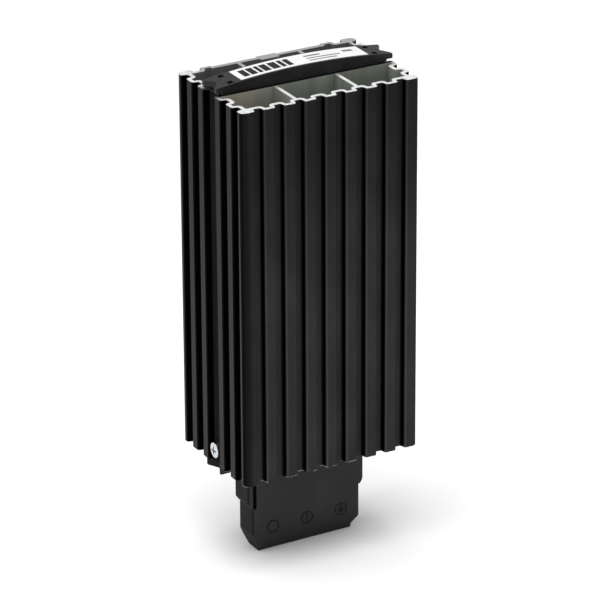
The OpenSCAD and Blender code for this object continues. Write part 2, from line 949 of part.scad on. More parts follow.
// The screw that holds the earth tag
module earth_screw() {
  color("silver")
    from_rail()
      translate([bridge_x, 0, -tag_t])
        mirror([0, 0, 1]) {
          pan_head(earth_head_r, earth_head_h);
          translate([0, 0, -earth_screw_l])
            cylinder(h = earth_screw_l, r = earth_screw_r);
        }
}

heat_sink_profile();
top_cap();
cap_label();
terminal_housing();
side_screws();
rail_clip();
clip_screws();
ptc_stones();
stone_frame();
electrode_front();
electrode_back();
insulating_sleeve();
contact_bars();
clamp_springs();
lead_line();
lead_neutral();
lead_earth();
earth_tag();
earth_screw();
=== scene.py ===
"""Looks of a cabinet heater: coated extrusion, moulded ends, label, clip and fasteners in a plain studio."""

import logging
import math
from dataclasses import dataclass, replace
from enum import Enum
from functools import reduce
from typing import Protocol

import bmesh
import bpy
from mathutils import Matrix, Vector

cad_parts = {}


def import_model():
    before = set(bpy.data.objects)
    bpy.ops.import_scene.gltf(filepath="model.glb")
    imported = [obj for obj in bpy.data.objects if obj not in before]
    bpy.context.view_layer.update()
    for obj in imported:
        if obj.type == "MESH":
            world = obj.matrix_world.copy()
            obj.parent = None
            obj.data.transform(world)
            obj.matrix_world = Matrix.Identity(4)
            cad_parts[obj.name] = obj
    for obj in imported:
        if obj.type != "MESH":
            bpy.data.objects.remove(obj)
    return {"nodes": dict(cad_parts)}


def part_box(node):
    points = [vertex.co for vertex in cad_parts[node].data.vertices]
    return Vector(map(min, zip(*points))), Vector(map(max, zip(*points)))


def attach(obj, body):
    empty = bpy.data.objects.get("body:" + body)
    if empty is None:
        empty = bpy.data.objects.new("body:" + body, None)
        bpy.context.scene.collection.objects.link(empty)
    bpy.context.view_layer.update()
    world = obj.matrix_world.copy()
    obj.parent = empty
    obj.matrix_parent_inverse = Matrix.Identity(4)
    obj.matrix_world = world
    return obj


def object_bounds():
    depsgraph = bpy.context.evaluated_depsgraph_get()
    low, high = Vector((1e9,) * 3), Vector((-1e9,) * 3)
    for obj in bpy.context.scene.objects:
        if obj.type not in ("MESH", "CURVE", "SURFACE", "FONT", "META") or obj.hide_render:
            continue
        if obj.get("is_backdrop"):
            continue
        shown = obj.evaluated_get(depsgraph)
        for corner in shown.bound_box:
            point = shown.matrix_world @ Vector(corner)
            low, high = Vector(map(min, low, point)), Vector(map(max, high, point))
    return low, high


MM: float = 0.001
ROOT: str = "root"
Color = tuple[float, float, float, float]
Point2 = tuple[float, float]
Socket = bpy.types.NodeSocket
Number = Socket | float
Tone = Socket | Color
BLACK: Color = (0.0, 0.0, 0.0, 1.0)
WHITE: Color = (1.0, 1.0, 1.0, 1.0)

log = logging.getLogger("cabinet_heater")


class Mark(Enum):
    """Raised mark inside a terminal's ring."""

    PLAIN = "plain"
    BAR = "bar"
    EARTH = "earth"


class Grain(Enum):
    """Way in which a noise is drawn out into lines, as a factor for each axis."""

    ALONG_X = (0.05, 1.0, 1.0)
    ALONG_Y = (1.0, 0.06, 1.0)
    ALONG_Z = (1.0, 1.0, 0.012)
    UPRIGHT = (1.0, 1.0, 0.3)
    NONE = (1.0, 1.0, 1.0)


class Arithmetic(Enum):
    """Kind of one step of node arithmetic."""

    PLUS = "ADD"
    LESS = "SUBTRACT"
    TIMES = "MULTIPLY"
    SIZE = "ABSOLUTE"
    LESSER = "MINIMUM"
    GREATER = "MAXIMUM"
    OVER = "GREATER_THAN"


class Blend(Enum):
    """What a mix node mixes, with the numbers of its two inputs and of its output."""

    NUMBERS = ("FLOAT", 2, 3, 0)
    COLORS = ("RGBA", 6, 7, 2)


@dataclass(frozen=True)
class Ramp:
    """Smooth step over a stretch of values, and what it gives at the stretch's start and end."""

    low: float
    high: float
    start: float = 0.0
    end: float = 1.0

    def in_metres(self) -> "Ramp":
        """The same step over a stretch that was given in millimetres."""
        return Ramp(self.low * MM, self.high * MM, self.start, self.end)


@dataclass(frozen=True)
class Cloud:
    """Cloudy noise: features per metre, number and strength of its finer layers, and the way of its lines."""

    scale: float
    detail: float = 3.0
    rough: float = 0.55
    grain: Grain = Grain.NONE


@dataclass(frozen=True)
class Relief:
    """Fine bump: its depth in millimetres and the share of it that shows."""

    depth: float
    strength: float


@dataclass(frozen=True)
class HeaterBody:
    """Frame of the heater's body: origin in the middle of the extrusion's lower end, sizes in millimetres."""

    mid_y: float
    low_z: float
    half_w: float
    half_d: float
    length: float

    @classmethod
    def from_frame(cls) -> "HeaterBody":
        """Reads the body's place and size from the extrusion's box.

        Returns:
            The body's frame.
        """
        low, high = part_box("heat_sink_profile")
        return cls(
            mid_y=(low.y + high.y) / 2 / MM,
            low_z=low.z / MM,
            half_w=(high.x - low.x) / 2 / MM,
            half_d=(high.y - low.y) / 2 / MM,
            length=(high.z - low.z) / MM,
        )

    def at(self, x: float, y: float, z: float) -> Vector:
        """Place in the shared frame, in metres, of a point given in the body's frame."""
        return Vector((x, y + self.mid_y, z + self.low_z)) * MM


class NodeSheet:
    """A material's node tree, with one short call for each kind of node that the finishes use."""

    BEVEL_SAMPLES: int = 6
    EDGE_TURN: Ramp = Ramp(0.86, 0.995, 1.0, 0.0)

    def __init__(self, name: str) -> None:
        """Makes an empty material with a principled shader.

        Args:
            name: Name of the material.
        """
        self.material: bpy.types.Material = bpy.data.materials.new(name)
        self.material.use_nodes = True
        self.tree = self.material.node_tree
        self.tree.nodes.clear()
        output = self.tree.nodes.new("ShaderNodeOutputMaterial")
        self.shader = self.tree.nodes.new("ShaderNodeBsdfPrincipled")
        self.tree.links.new(self.shader.outputs["BSDF"], output.inputs["Surface"])

    def node(self, kind: str) -> bpy.types.Node:
        """Adds a node of that kind."""
        return self.tree.nodes.new(kind)

    def put(self, socket: Socket, value: Number | Tone) -> None:
        """Links a socket to another one, or sets its value.

        Args:
            socket: Input to feed.
            value: Output socket, number or colour.
        """
        if isinstance(value, bpy.types.NodeSocket):
            self.tree.links.new(value, socket)
        else:
            socket.default_value = value

    def set(self, name: str, value: Number | Tone) -> None:
        """Feeds one input of the principled shader by name."""
        self.put(self.shader.inputs[name], value)

    def place(self) -> Socket:
        """Place of the shaded point on its own piece, in metres."""
        return self.node("ShaderNodeTexCoord").outputs["Object"]

    def facing(self) -> Socket:
        """Direction that the shaded face points in."""
        return self.node("ShaderNodeNewGeometry").outputs["True Normal"]

    def parts(self, vector: Socket) -> tuple[Socket, ...]:
        """Splits a vector into its three numbers.

        Args:
            vector: The vector.

        Returns:
            Its X, Y and Z.
        """
        split = self.node("ShaderNodeSeparateXYZ")
        self.put(split.inputs[0], vector)
        return tuple(split.outputs)

    def math(self, kind: Arithmetic, a: Number, b: Number = 0.0) -> Socket:
        """One step of arithmetic.

        Args:
            kind: What is done.
            a: First number.
            b: Second number, where the step has one.

        Returns:
            The result.
        """
        step = self.node("ShaderNodeMath")
        step.operation = kind.value
        self.put(step.inputs[0], a)
        self.put(step.inputs[1], b)
        return step.outputs[0]

    def plus(self, a: Number, b: Number) -> Socket:
        """Sum of two numbers."""
        return self.math(Arithmetic.PLUS, a, b)

    def less(self, a: Number, b: Number) -> Socket:
        """The first number less the second."""
        return self.math(Arithmetic.LESS, a, b)

    def size(self, a: Number) -> Socket:
        """A number without its sign."""
        return self.math(Arithmetic.SIZE, a)

    def lesser(self, a: Number, b: Number) -> Socket:
        """Lesser of two numbers."""
        return self.math(Arithmetic.LESSER, a, b)

    def over(self, a: Number, b: Number) -> Socket:
        """1 where a is more than b, else 0."""
        return self.math(Arithmetic.OVER, a, b)

    def both(self, a: Number, b: Number) -> Socket:
        """Product of two masks."""
        return self.math(Arithmetic.TIMES, a, b)

    def either(self, a: Number, b: Number) -> Socket:
        """Larger of two masks."""
        return self.math(Arithmetic.GREATER, a, b)

    def rest(self, a: Number) -> Socket:
        """What a mask leaves of 1."""
        return self.less(1.0, a)

    def span(self, value: Number, ramp: Ramp) -> Socket:
        """Maps a stretch of values to another, smoothly and within its ends.

        Args:
            value: Number to map.
            ramp: The stretch, and the values at its ends.

        Returns:
            The mapped number.
        """
        step = self.node("ShaderNodeMapRange")
        step.interpolation_type = "SMOOTHSTEP"
        self.put(step.inputs["Value"], value)
        step.inputs["From Min"].default_value = ramp.low
        step.inputs["From Max"].default_value = ramp.high
        step.inputs["To Min"].default_value = ramp.start
        step.inputs["To Max"].default_value = ramp.end
        return step.outputs["Result"]

    def stretch(self, vector: Socket, grain: Grain) -> Socket:
        """Scales a place on each axis, so that a noise read there is drawn out into lines.

        Args:
            vector: The place.
            grain: The way of the lines.

        Returns:
            The scaled place.
        """
        step = self.node("ShaderNodeVectorMath")
        step.operation = "MULTIPLY"
        self.put(step.inputs[0], vector)
        step.inputs[1].default_value = grain.value
        return step.outputs[0]

    def noise(self, place: Socket, cloud: Cloud) -> Socket:
        """Cloudy noise from 0 to 1.

        Args:
            place: Place that the noise is read at.
            cloud: Kind of noise.

        Returns:
            The noise value.
        """
        step = self.node("ShaderNodeTexNoise")
        self.put(step.inputs["Vector"], self.stretch(place, cloud.grain))
        step.inputs["Scale"].default_value = cloud.scale
        step.inputs["Detail"].default_value = cloud.detail
        step.inputs["Roughness"].default_value = cloud.rough
        return step.outputs["Fac"]

    def blend(self, kind: Blend, share: Number, a: Number | Tone, b: Number | Tone) -> Socket:
        """Mixes two values.

        Args:
            kind: Whether they are numbers or colours.
            share: Share of the second one.
            a: First value.
            b: Second value.

        Returns:
            The mixed value.
        """
        data_type, first, second, result = kind.value
        step = self.node("ShaderNodeMix")
        step.data_type = data_type
        for number, value in ((0, share), (first, a), (second, b)):
            self.put(step.inputs[number], value)
        return step.outputs[result]

    def mix(self, share: Number, a: Tone, b: Tone) -> Socket:
        """Mixes two colours, with that share of the second."""
        return self.blend(Blend.COLORS, share, a, b)

    def lerp(self, share: Number, a: Number, b: Number) -> Socket:
        """Mixes two numbers, with that share of the second."""
        return self.blend(Blend.NUMBERS, share, a, b)

    def soft_edges(self, radius: float) -> Socket:
        """Direction of the face, turned smoothly over each edge.

        Args:
            radius: Radius of the rounding, in millimetres.

        Returns:
            The direction.
        """
        step = self.node("ShaderNodeBevel")
        step.samples = self.BEVEL_SAMPLES
        step.inputs["Radius"].default_value = radius * MM
        return step.outputs["Normal"]

    def near_edge(self, soft: Socket) -> Socket:
        """Mask of the edges: 1 where the softened direction leaves the face's own.

        Args:
            soft: Softened direction.

        Returns:
            The mask.
        """
        step = self.node("ShaderNodeVectorMath")
        step.operation = "DOT_PRODUCT"
        self.put(step.inputs[0], soft)
        self.put(step.inputs[1], self.facing())
        return self.span(step.outputs["Value"], self.EDGE_TURN)

    def emboss(self, height: Socket, relief: Relief, base: Socket | None = None) -> None:
        """Gives the shader a bump.

        Args:
            height: Height from 0 to 1.
            relief: Depth and strength of the bump.
            base: Direction that the bump starts from, where it isn't the face's own.
        """
        step = self.node("ShaderNodeBump")
        if base is not None:
            self.put(step.inputs["Normal"], base)
        step.inputs["Strength"].default_value = relief.strength
        step.inputs["Distance"].default_value = relief.depth * MM
        self.put(step.inputs["Height"], height)
        self.set("Normal", step.outputs["Normal"])


class Finish(Protocol):
    """Anything that can make a material."""

    def make(self, name: str) -> bpy.types.Material:
        """Makes the material under that name."""


@dataclass(frozen=True)
class Spot:
    """Shaded point of the extrusion: its place, with y from the core's middle, and its direction."""

    place: Socket
    x: Socket
    y: Socket
    z: Socket
    nx: Socket
    ny: Socket
    nz: Socket

    @classmethod
    def on(cls, sheet: NodeSheet, body: HeaterBody) -> "Spot":
        """Reads the shaded point.

        Args:
            sheet: Node tree to add to.
            body: The heater's body.

        Returns:
            The point.
        """
        place = sheet.place()
        x, y, z = sheet.parts(place)
        return cls(place, x, sheet.less(y, body.mid_y * MM), z, *sheet.parts(sheet.facing()))


@dataclass(frozen=True)
class CellSkin:
    """Grey skin inside the cells: banded along the draw, warm at the left, with painted shade behind the
    core.
    """

    color: Color = (0.212, 0.23, 0.196, 1.0)
    pale: Color = (0.288, 0.315, 0.274, 1.0)
    warm: Color = (0.43, 0.37, 0.305, 1.0)
    shade_behind: Color = (0.145, 0.145, 0.143, 1.0)
    metallic: float = 0.3
    roughness: float = 0.4
    bands: Cloud = Cloud(160.0, 2.0, grain=Grain.ALONG_Z)
    pale_bands: Ramp = Ramp(0.35, 0.7)
    warm_x: Ramp = Ramp(-24.0, -9.0, 0.55, 0.0)

    def tone(self, sheet: NodeSheet, spot: Spot) -> Socket:
        """Colour of the skin.

        Args:
            sheet: Node tree to add to.
            spot: The shaded point.

        Returns:
            The colour.
        """
        bands = sheet.noise(spot.place, self.bands)
        tone = sheet.mix(sheet.span(bands, self.pale_bands), self.color, self.pale)
        tone = sheet.mix(sheet.span(spot.x, self.warm_x.in_metres()), tone, self.warm)
        # painted shade: the cells behind the core are darker
        return sheet.mix(sheet.over(spot.y, 0.0), tone, self.shade_behind)


@dataclass(frozen=True)
class SawnMetal:
    """Bare cut of the extrusion: saw lines, painted shadow of the cap by the core, painted shade behind, and
    flecks on the rims.

    Sizes are in millimetres. The painted shadow ends between two distances from the core, behind_x and
    behind_y run over the place, and the flecks' height follows a noise between two values.
    """

    bright: Color = (0.74, 0.74, 0.74, 1.0)
    dull: Color = (0.5, 0.505, 0.51, 1.0)
    cap_shadow: Color = (0.3, 0.285, 0.265, 1.0)
    shade_behind: Color = (0.26, 0.265, 0.27, 1.0)
    metallic: float = 0.3
    lines: Cloud = Cloud(2600.0, 3.0, grain=Grain.ALONG_Y)
    bright_lines: Ramp = Ramp(0.3, 0.75)
    roughness: Ramp = Ramp(0.25, 0.8, 0.3, 0.5)
    shadow_from: float = 0.6
    shadow_to: float = 4.0
    behind_y: Ramp = Ramp(13.0, 18.5)
    behind_x: Ramp = Ramp(-33.0, -26.0, 0.1, 0.9)
    ragged: Cloud = Cloud(260.0, 3.0, 0.7, Grain.UPRIGHT)
    fleck_low: float = 0.45
    fleck_high: float = 0.6
    fleck_h: float = 0.25
    fleck_share: float = 0.35

    def tone(self, sheet: NodeSheet, spot: Spot, saw: Socket, core_half: float) -> Socket:
        """Colour of the cut.

        Args:
            sheet: Node tree to add to.
            spot: The shaded point.
            saw: Noise of the saw lines.
            core_half: Half the core's depth, in millimetres.

        Returns:
            The colour.
        """
        tone = sheet.mix(sheet.span(saw, self.bright_lines), self.dull, self.bright)
        # painted shade on the back rim, lighter towards the left end
        shade_behind = sheet.both(sheet.span(spot.y, self.behind_y.in_metres()),
                            sheet.span(spot.x, self.behind_x.in_metres()))
        tone = sheet.mix(shade_behind, tone, self.shade_behind)
        # painted shadow of the cap on the cut ends next to the core
        off_core = Ramp(core_half + self.shadow_from, core_half + self.shadow_to)
        return sheet.mix(sheet.span(sheet.size(spot.y), off_core.in_metres()), self.cap_shadow, tone)

    def flecks(self, sheet: NodeSheet, spot: Spot, body: HeaterBody) -> Socket:
        """Mask of the small bare flecks along the two sawn rims.

        Args:
            sheet: Node tree to add to.
            spot: The shaded point.
            body: The heater's body.

        Returns:
            The flecks' share.
        """
        low = body.low_z * MM
        high = low + body.length * MM
        gap = sheet.lesser(sheet.less(spot.z, low), sheet.less(high, spot.z))
        reach = Ramp(self.fleck_low, self.fleck_high, 0.0, self.fleck_h * MM)
        ragged = sheet.span(sheet.noise(spot.place, self.ragged), reach)
        return sheet.both(sheet.over(ragged, gap), self.fleck_share)


@dataclass(frozen=True)
class CoatShadeAndHighlight:
    """Where painted shade and painted highlights lie on the extrusion's coat. Sizes are in millimetres.

    sunk and side_floor run over the depth under the ribs' tops, the two flanks over how far a face points to
    the front or the side, leaning over how far an edge turns to the left, and corner over the distance from
    the left side.
    """

    edge_r: float = 0.8
    sunk: Ramp = Ramp(0.25, 0.9)
    front_flank: Ramp = Ramp(0.5, 0.88, 1.0, 0.0)
    side_flank: Ramp = Ramp(0.6, 0.97, 1.0, 0.0)
    side_floor: Ramp = Ramp(0.6, 2.2, 0.0, 0.55)
    leaning: Ramp = Ramp(-0.5, -0.05, 1.0, 0.0)
    foot_share: float = 0.8
    corner: Ramp = Ramp(0.0, 4.5, 0.86, 0.2)
    corner_w: float = 5.2
    corner_facing: float = 0.15
    side_facing: float = 0.9
    rib_top: float = 0.3
    lobe_d: float = 3.4
    edge_wear_and_highlight: float = 0.66
    side_highlight: float = 0.85
    lobe_highlight: float = 1.4

    def masks(self, sheet: NodeSheet, spot: Spot, body: HeaterBody) -> tuple[Socket, Socket]:
        """Masks of the painted shade and of the painted highlights on the coat.

        The painted shade lies on the ribs' flanks, at the grooves' feet and round the left corners.

        Args:
            sheet: Node tree to add to.
            spot: The shaded point.
            body: The heater's body.

        Returns:
            The mask of the painted shade and the mask of the painted highlights.
        """
        across, back = sheet.size(spot.nx), sheet.size(spot.ny)
        from_side = sheet.less(body.half_w * MM, sheet.size(spot.x))
        from_front = sheet.less(body.half_d * MM, sheet.size(spot.y))
        on_front = sheet.over(from_side, from_front)
        depth = sheet.lesser(from_side, from_front)
        sunk = sheet.span(depth, self.sunk.in_metres())
        front = sheet.both(sheet.span(back, self.front_flank), sunk)
        side_floor = sheet.span(depth, self.side_floor.in_metres())
        side = sheet.either(sheet.span(across, self.side_flank), side_floor)
        lean = sheet.parts(sheet.soft_edges(self.edge_r))[0]
        leaning = sheet.both(sheet.span(lean, self.leaning), on_front)
        foot = sheet.both(sheet.both(leaning, sunk), self.foot_share)
        corner = self._left_corner_shade(sheet, sheet.plus(spot.x, body.half_w * MM), back)
        # painted shade: the ribs' flanks, the grooves' feet and floors, and the left corners, where shade
        # falls
        painted_shade = sheet.either(sheet.lerp(on_front, side, front), sheet.either(corner, foot))
        # painted highlights: the ribs' left edges on front and back, the side walls' rib tops, and most on
        # the corner lobes
        rib_edge_highlight = sheet.both(sheet.both(leaning, sheet.rest(sunk)), self.edge_wear_and_highlight)
        side_rib_highlight = sheet.both(sheet.over(across, self.side_facing), sheet.over(self.rib_top * MM, from_side))
        lobe = sheet.lerp(sheet.over(self.lobe_d * MM, from_front), self.side_highlight, self.lobe_highlight)
        return painted_shade, sheet.either(rib_edge_highlight, sheet.both(side_rib_highlight, lobe))

    def _left_corner_shade(self, sheet: NodeSheet, from_left: Socket, back: Socket) -> Socket:
        """Mask of the painted shade that fades out along front and back from the left side."""
        near = sheet.both(sheet.over(back, self.corner_facing), sheet.over(self.corner_w * MM, from_left))
        return sheet.both(sheet.span(from_left, self.corner.in_metres()), near)


@dataclass(frozen=True)
class CoatedExtrusion:
    """Satin black coat on drawn aluminium, grey inside the cells and bare where the saw cut it.

    The coat is part metallic with hardly any clear gloss, so its colour sets its sheen too. Sizes are in
    millimetres, and painted shade darkens the coat from a share of the length up to the top.
    """

    body: HeaterBody
    color: Color = (0.0245, 0.0242, 0.024, 1.0)
    dusty: Color = (0.0325, 0.032, 0.0315, 1.0)
    # near-black colour of the painted shade, and of the painted shadow on the core's end
    shade_color: Color = (0.0008, 0.0008, 0.0008, 1.0)
    # colour of the painted highlights on the coat
    wear_and_highlight: Color = (0.062, 0.061, 0.059, 1.0)
    gloss_tint: Color = (0.3, 0.3, 0.3, 1.0)
    gloss: float = 0.05
    metallic: float = 0.55
    roughness: Ramp = Ramp(0.25, 0.8, 0.36, 0.5)
    shade_rough: float = 0.9
    highlight_share: float = 0.7
    drawn: Cloud = Cloud(900.0, 4.0, 0.65, Grain.ALONG_Z)
    relief: Relief = Relief(0.04, 0.5)
    clouds: Cloud = Cloud(55.0, 4.0)
    dust: Ramp = Ramp(0.35, 0.75)
    fade_from: float = 0.38
    top_shade: float = 0.44
    front_fade: Ramp = Ramp(0.3, 0.8, 0.4, 1.0)
    core_half: float = 5.25
    end_facing: float = 0.7
    outer_band: float = 4.5
    outer_skin: float = 1.25
    turned_out: float = 0.05
    cells: CellSkin = CellSkin()
    sawn: SawnMetal = SawnMetal()
    painted_light: CoatShadeAndHighlight = CoatShadeAndHighlight()

    def make(self, name: str) -> bpy.types.Material:
        """Builds the coat, the cells' grey and the bare cuts from place and direction.

        Args:
            name: Name of the material.

        Returns:
            The material.
        """
        sheet = NodeSheet(name)
        spot = Spot.on(sheet, self.body)
        outside = self._outside(sheet, spot)
        at_end = sheet.over(sheet.size(spot.nz), self.end_facing)
        off_core = sheet.over(sheet.size(spot.y), self.core_half * MM)
        painted_shade, wear_and_highlight = self.painted_light.masks(sheet, spot, self.body)
        drawn = sheet.noise(spot.place, self.drawn)
        saw = sheet.noise(spot.place, self.sawn.lines)
        flecks = sheet.both(outside, self.sawn.flecks(sheet, spot, self.body))
        bare = sheet.either(sheet.both(at_end, off_core), flecks)
        skin = sheet.mix(outside, self.cells.tone(sheet, spot), self._coat(sheet, spot, painted_shade, wear_and_highlight))
        # painted shadow of the cap: the core's sawn end turns near black
        skin = sheet.mix(sheet.both(at_end, sheet.rest(off_core)), skin, self.shade_color)
        sheet.set("Base Color", sheet.mix(bare, skin, self.sawn.tone(sheet, spot, saw, self.core_half)))
        metallic = sheet.lerp(outside, self.cells.metallic, self.metallic)
        sheet.set("Metallic", sheet.lerp(bare, metallic, self.sawn.metallic))
        # rougher where the painted shade lies
        rough = sheet.lerp(painted_shade, sheet.span(drawn, self.roughness), self.shade_rough)
        rough = sheet.lerp(outside, self.cells.roughness, rough)
        sheet.set("Roughness", sheet.lerp(bare, rough, sheet.span(saw, self.sawn.roughness)))
        sheet.set("Specular IOR Level", self.gloss)
        sheet.set("Specular Tint", self.gloss_tint)
        sheet.emboss(drawn, self.relief)
        return sheet.material

    def _coat(self, sheet: NodeSheet, spot: Spot, painted_shade: Socket, wear_and_highlight: Socket) -> Socket:
        """Colour of the coat: dusty in clouds, with painted highlights, painted shade, and painted shade
        towards the top.

        Args:
            sheet: Node tree to add to.
            spot: The shaded point.
            painted_shade: Mask of the painted shade.
            wear_and_highlight: Mask of the painted highlights.

        Returns:
            The colour.
        """
        clouds = sheet.noise(spot.place, self.clouds)
        coat = sheet.mix(sheet.span(clouds, self.dust), self.color, self.dusty)
        # painted highlights on the ribs' edges, the side ribs and the corner lobes
        coat = sheet.mix(sheet.both(wear_and_highlight, self.highlight_share), coat, self.wear_and_highlight)
        # painted shade: darker towards the top, most on the front and back
        low, length = self.body.low_z * MM, self.body.length * MM
        fade = sheet.span(spot.z, Ramp(low + self.fade_from * length, low + length, 0.0, self.top_shade))
        fade = sheet.both(fade, sheet.span(sheet.size(spot.ny), self.front_fade))
        # painted shade: the coat turns near black in the grooves, on the flanks, round the left corners and
        # towards the top
        return sheet.mix(sheet.either(painted_shade, fade), coat, self.shade_color)

    def _outside(self, sheet: NodeSheet, spot: Spot) -> Socket:
        """Mask of the faces that look out of the extrusion.

        Args:
            sheet: Node tree to add to.
            spot: The shaded point.

        Returns:
            1 on outer faces, 0 inside the cells.
        """
        masks = []
        for side, facing, half in ((spot.x, spot.nx, self.body.half_w), (spot.y, spot.ny, self.body.half_d)):
            reach = sheet.size(side)
            turned_out = sheet.over(sheet.both(side, facing), self.turned_out * half * MM)
            masks.append(sheet.both(sheet.over(reach, (half - self.outer_band) * MM), turned_out))
            masks.append(sheet.over(reach, (half - self.outer_skin) * MM))
        return reduce(sheet.either, masks)


@dataclass(frozen=True)
class MouldedPlastic:
    """Black moulded plastic with a fine matt grain, a little dust and rubbed edges, partly painted highlight.

    Its sides can be shaded, and so can its lower stretch, between the two heights of low_band in metres.
    """

    color: Color
    dusty: Color
    wear_and_highlight: Color = (0.03, 0.03, 0.03, 1.0)
    gloss: float = 0.22
    side_shade: float = 0.0
    side_low: float = 0.4
    side_high: float = 0.9
    low_shade: float = 0.0
    low_band: Point2 = (0.0, 1.0)
    edge_r: float = 0.22
    roughness: Ramp = Ramp(0.3, 0.8, 0.42, 0.58)
    clouds: Cloud = Cloud(70.0, 5.0, 0.6)
    cloud_dust: Ramp = Ramp(0.4, 0.75, 0.0, 0.7)
    specks: Cloud = Cloud(1500.0, 2.0)
    speck_dust: Ramp = Ramp(0.68, 0.8, 0.0, 0.4)
    edge_wear_and_highlight: Ramp = Ramp(0.35, 0.65, 0.05, 0.4)
    grain: Cloud = Cloud(2600.0, 3.0, 0.6)
    relief: Relief = Relief(0.03, 0.6)

    def make(self, name: str) -> bpy.types.Material:
        """Builds the grain, the dust and the rubbed edges, which are partly painted highlight.

        Args:
            name: Name of the material.

        Returns:
            The material.
        """
        sheet = NodeSheet(name)
        place = sheet.place()
        clouds = sheet.noise(place, self.clouds)
        specks = sheet.noise(place, self.specks)
        dust = sheet.plus(sheet.span(clouds, self.cloud_dust), sheet.span(specks, self.speck_dust))
        soft = sheet.soft_edges(self.edge_r)
        # lighter edges: partly wear, partly painted highlight
        rub_and_highlight = sheet.both(sheet.near_edge(soft), sheet.span(clouds, self.edge_wear_and_highlight))
        skin = sheet.mix(dust, self.color, self.dusty)
        skin = sheet.mix(self._shade(sheet, place), skin, BLACK)
        sheet.set("Base Color", sheet.mix(rub_and_highlight, skin, self.wear_and_highlight))
        sheet.set("Roughness", sheet.span(clouds, self.roughness))
        sheet.set("Specular IOR Level", self.gloss)
        sheet.emboss(sheet.noise(place, self.grain), self.relief, soft)
        return sheet.material

    def _shade(self, sheet: NodeSheet, place: Socket) -> Socket:
        """Mask of the shaded sides and of the shaded lower stretch.

        Args:
            sheet: Node tree to add to.
            place: Place of the shaded point.

        Returns:
            The mask.
        """
        across = sheet.size(sheet.parts(sheet.facing())[0])
        sides = sheet.span(across, Ramp(self.side_low, self.side_high, 0.0, self.side_shade))
        lower = sheet.span(sheet.parts(place)[2], Ramp(*self.low_band, self.low_shade, 0.0))
        return sheet.either(sides, lower)


@dataclass(frozen=True)
class TwoTone:
    """Skin that drifts between two colours, with a gloss and a relief that follow the drift."""

    color: Color
    tone: Color
    drift: Cloud
    toned: Ramp
    roughness: Point2
    rough_low: float = 0.3
    rough_high: float = 0.8
    gloss: float = 0.5
    relief: Relief | None = None

    def make(self, name: str) -> bpy.types.Material:
        """Builds the drift, the gloss and the relief.

        Args:
            name: Name of the material.

        Returns:
            The material.
        """
        sheet = NodeSheet(name)
        drift = sheet.noise(sheet.place(), self.drift)
        sheet.set("Base Color", sheet.mix(sheet.span(drift, self.toned), self.color, self.tone))
        sheet.set("Roughness", sheet.span(drift, Ramp(self.rough_low, self.rough_high, *self.roughness)))
        sheet.set("Specular IOR Level", self.gloss)
        if self.relief is not None:
            sheet.emboss(drift, self.relief)
        return sheet.material


@dataclass(frozen=True)
class PrintInk(TwoTone):
    """Printed ink that covers slightly unevenly."""

    drift: Cloud = Cloud(1800.0, 3.0, 0.7)
    toned: Ramp = Ramp(0.45, 0.8)
    roughness: Point2 = (0.35, 0.5)
    gloss: float = 0.1


@dataclass(frozen=True)
class FiredStone(TwoTone):
    """Fired heating stone with a speckled, matt face."""

    color: Color = (0.09, 0.092, 0.1, 1.0)
    tone: Color = (0.2, 0.2, 0.21, 1.0)
    drift: Cloud = Cloud(2200.0, 4.0, 0.7)
    toned: Ramp = Ramp(0.45, 0.8)
    roughness: Point2 = (0.7, 0.9)
    relief: Relief | None = Relief(0.05, 0.5)


@dataclass(frozen=True)
class SoftSkin(TwoTone):
    """Film, wire insulation or moulded frame with a soft gloss."""

    drift: Cloud = Cloud(300.0, 4.0)
    toned: Ramp = Ramp(0.35, 0.75)
    roughness: Point2 = (0.3, 0.45)
    relief: Relief | None = Relief(0.02, 0.3)


@dataclass(frozen=True)
class WhiteFoil:
    """White label foil with a faint mottle and a fine grain."""

    color: Color = (0.6, 0.6, 0.595, 1.0)
    shade: Color = (0.53, 0.53, 0.525, 1.0)
    mottle: Cloud = Cloud(240.0, 4.0, 0.6)
    shaded: Ramp = Ramp(0.4, 0.8)
    roughness: Ramp = Ramp(0.3, 0.8, 0.3, 0.42)
    grain: Cloud = Cloud(900.0, 2.0)
    relief: Relief = Relief(0.02, 0.3)

    def make(self, name: str) -> bpy.types.Material:
        """Builds the foil's mottle, gloss and grain.

        Args:
            name: Name of the material.

        Returns:
            The material.
        """
        sheet = NodeSheet(name)
        place = sheet.place()
        mottle = sheet.noise(place, self.mottle)
        sheet.set("Base Color", sheet.mix(sheet.span(mottle, self.shaded), self.color, self.shade))
        sheet.set("Roughness", sheet.span(mottle, self.roughness))
        sheet.emboss(sheet.noise(place, self.grain), self.relief)
        return sheet.material


@dataclass(frozen=True)
class BrightMetal:
    """Bare or plated metal with drawing lines and a tint that drifts."""

    color: Color
    tint: Color
    roughness: Point2
    grain: Grain = Grain.NONE
    lines: Cloud = Cloud(1200.0, 4.0, 0.6)
    rough_low: float = 0.25
    rough_high: float = 0.8
    drift: Cloud = Cloud(420.0, 3.0)
    tinted: Ramp = Ramp(0.35, 0.7)
    relief: Relief = Relief(0.02, 0.35)
    edge_r: float = 0.12

    def make(self, name: str) -> bpy.types.Material:
        """Builds the metal's lines, tint and gloss.

        Args:
            name: Name of the material.

        Returns:
            The material.
        """
        sheet = NodeSheet(name)
        place = sheet.place()
        drift = sheet.noise(place, self.drift)
        lines = sheet.noise(place, replace(self.lines, grain=self.grain))
        sheet.set("Base Color", sheet.mix(sheet.span(drift, self.tinted), self.color, self.tint))
        sheet.set("Metallic", 1.0)
        sheet.set("Roughness", sheet.span(lines, Ramp(self.rough_low, self.rough_high, *self.roughness)))
        sheet.emboss(lines, self.relief, sheet.soft_edges(self.edge_r))
        return sheet.material


